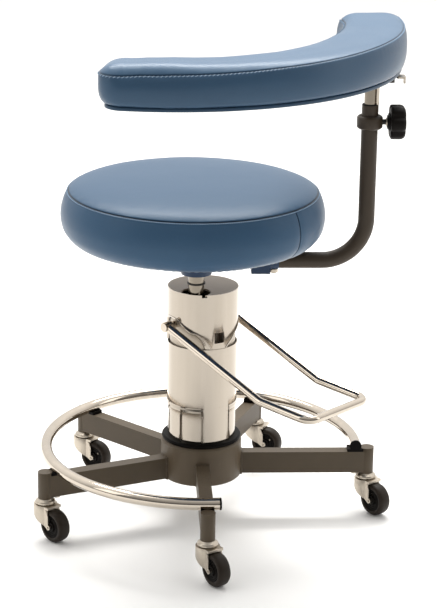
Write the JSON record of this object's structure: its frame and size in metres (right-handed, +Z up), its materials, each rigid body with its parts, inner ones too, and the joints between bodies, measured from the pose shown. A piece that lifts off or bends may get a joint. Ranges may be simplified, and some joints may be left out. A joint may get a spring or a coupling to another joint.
{
  "type": "medical stool",
  "caption": "Foot-pumped hydraulic stool with a castored base, an open foot ring, a round padded seat and a curved padded body support on a bent tube",
  "frame": {"origin": "on the floor, under the axis of the pump column and the base hub", "axes": "+Z up; +X along the leg to the viewer's right, which is also the level run of the support tube; +Y away from the viewer"},
  "size_m": [0.5531, 0.574, 0.7667],
  "materials": {
    "paint": "satin taupe-brown enamel",
    "chrome": "polished chrome plate",
    "zinc": "bright zinc plate",
    "tyre": "hard black rubber",
    "black_rubber": "matte black rubber",
    "pump_iron": "machined grey iron",
    "grey_plate": "satin taupe-grey",
    "black_steel": "satin black",
    "navy": "satin navy",
    "vinyl": "blue upholstery vinyl with a soft sheen",
    "vinyl_board": "plywood wrapped in the blue vinyl",
    "board": "plywood under black cloth",
    "black_plastic": "moulded black plastic"
  },
  "bodies": {
    "base": {"base_hub": "paint", "leg_1": "paint", "leg_2": "paint", "leg_3": "paint", "leg_4": "paint", "leg_5": "paint", "hub_seal": "black_rubber", "foot_ring": "chrome", "ring_plugs": "black_rubber", "ring_saddles": "black_rubber", "ring_screws": "chrome", "castor_stem_1": "chrome", "castor_stem_2": "chrome", "castor_stem_3": "chrome", "castor_stem_4": "chrome", "castor_stem_5": "chrome", "pump_body": "pump_iron", "column_skirt": "chrome", "lower_sleeve": "chrome", "upper_cover": "chrome", "top_plate": "grey_plate", "release_pin": "chrome", "release_spring": "chrome"},
    "castor_1": {"castor_fork_1": "zinc", "castor_axle_1": "zinc"},
    "wheel_1": {"castor_wheel_1": "tyre"},
    "castor_2": {"castor_fork_2": "zinc", "castor_axle_2": "zinc"},
    "wheel_2": {"castor_wheel_2": "tyre"},
    "castor_3": {"castor_fork_3": "zinc", "castor_axle_3": "zinc"},
    "wheel_3": {"castor_wheel_3": "tyre"},
    "castor_4": {"castor_fork_4": "zinc", "castor_axle_4": "zinc"},
    "wheel_4": {"castor_wheel_4": "tyre"},
    "castor_5": {"castor_fork_5": "zinc", "castor_axle_5": "zinc"},
    "wheel_5": {"castor_wheel_5": "tyre"},
    "ram": {"lift_ram": "chrome", "ram_clip": "black_steel"},
    "seat": {"seat_hub": "navy", "seat_plate": "navy", "seat_bolts": "zinc", "seat_board": "board", "seat_cushion": "vinyl", "tube_bracket": "navy"},
    "clamp": {"clamp_screw": "chrome"},
    "support": {"support_tube": "paint", "tube_collar": "paint", "post_bush": "black_plastic"},
    "knob": {"star_knob": "black_plastic"},
    "post": {"pad_post": "chrome"},
    "pad": {"pad_mount": "black_steel", "stop_rod": "chrome", "pad_board": "vinyl_board", "pad_cushion": "vinyl"},
    "lever": {"lock_lever": "chrome"},
    "pedal": {"pump_pedal": "chrome", "pedal_shaft": "chrome"},
    "plunger": {"pump_plunger": "chrome"}
  },
  "joints": [
    {"name": "castor_swivel_1", "type": "hinge", "parent": "base", "child": "castor_1", "pos_m": [0.258, 0, 0.055], "axis": [0, 0, 1], "continuous": true},
    {"name": "castor_roll_1", "type": "hinge", "parent": "castor_1", "child": "wheel_1", "pos_m": [0.27184, -0.01837, 0.025], "axis": [0.7986, 0.6018, 0], "continuous": true},
    {"name": "castor_swivel_2", "type": "hinge", "parent": "base", "child": "castor_2", "pos_m": [0.09873, 0.23836, 0.055], "axis": [0, 0, 1], "continuous": true},
    {"name": "castor_roll_2", "type": "hinge", "parent": "castor_2", "child": "wheel_2", "pos_m": [0.11904, 0.22756, 0.025], "axis": [0.4695, 0.8829, 0], "continuous": true},
    {"name": "castor_swivel_3", "type": "hinge", "parent": "base", "child": "castor_3", "pos_m": [-0.18243, 0.18243, 0.055], "axis": [0, 0, 1], "continuous": true},
    {"name": "castor_roll_3", "type": "hinge", "parent": "castor_3", "child": "wheel_3", "pos_m": [-0.16359, 0.16924, 0.025], "axis": [0.5736, 0.8192, 0], "continuous": true},
    {"name": "castor_swivel_4", "type": "hinge", "parent": "base", "child": "castor_4", "pos_m": [-0.23836, -0.09873, 0.055], "axis": [0, 0, 1], "continuous": true},
    {"name": "castor_roll_4", "type": "hinge", "parent": "castor_4", "child": "wheel_4", "pos_m": [-0.22327, -0.11609, 0.025], "axis": [0.7547, 0.6561, 0], "continuous": true},
    {"name": "castor_swivel_5", "type": "hinge", "parent": "base", "child": "castor_5", "pos_m": [0, -0.258, 0.055], "axis": [0, 0, 1], "continuous": true},
    {"name": "castor_roll_5", "type": "hinge", "parent": "castor_5", "child": "wheel_5", "pos_m": [0.01219, -0.27751, 0.025], "axis": [0.848, 0.5299, 0], "continuous": true},
    {"name": "seat_lift", "type": "slide", "parent": "base", "child": "ram", "axis": [0, 0, 1], "range_m": [0, 0.15]},
    {"name": "seat_swivel", "type": "hinge", "parent": "ram", "child": "seat", "pos_m": [-0.01205, -0.03498, 0.42], "axis": [0, 0, 1], "continuous": true},
    {"name": "clamp_turn", "type": "hinge", "parent": "seat", "child": "clamp", "pos_m": [0.10395, -0.03498, 0.4], "axis": [0, 0, 1], "range_deg": [0, 360]},
    {"name": "tube_reach", "type": "slide", "parent": "seat", "child": "support", "axis": [1, 0, 0], "range_m": [-0.015, 0.035]},
    {"name": "knob_turn", "type": "hinge", "parent": "support", "child": "knob", "pos_m": [0.26995, -0.03498, 0.62975], "axis": [1, 0, 0], "range_deg": [0, 360]},
    {"name": "pad_height", "type": "slide", "parent": "support", "child": "post", "axis": [0, 0, 1], "range_m": [0, 0.1]},
    {"name": "pad_swivel", "type": "hinge", "parent": "post", "child": "pad", "pos_m": [0.23995, -0.03498, 0.695], "axis": [0, 0, 1], "continuous": true},
    {"name": "lock_lever_turn", "type": "hinge", "parent": "pad", "child": "lever", "pos_m": [0.26195, -0.04098, 0.698], "axis": [0, 0, 1], "range_deg": [0, 25], "stiffness_Nm_per_rad": 0.2, "springref_deg": -5.73},
    {"name": "pedal_pump", "type": "hinge", "parent": "base", "child": "pedal", "pos_m": [-0.00848, 0.00848, 0.3145], "axis": [0.7071, 0.7071, 0], "range_deg": [0, 24], "stiffness_Nm_per_rad": 5, "springref_deg": -24.06},
    {"name": "plunger_stroke", "type": "slide", "parent": "base", "child": "plunger", "axis": [0, 0, -1], "range_m": [0, 0.008]}
  ],
  "couplings": [
    {"joint": "plunger_stroke", "follows": "pedal_pump", "m_per_rad": 0.018}
  ]
}
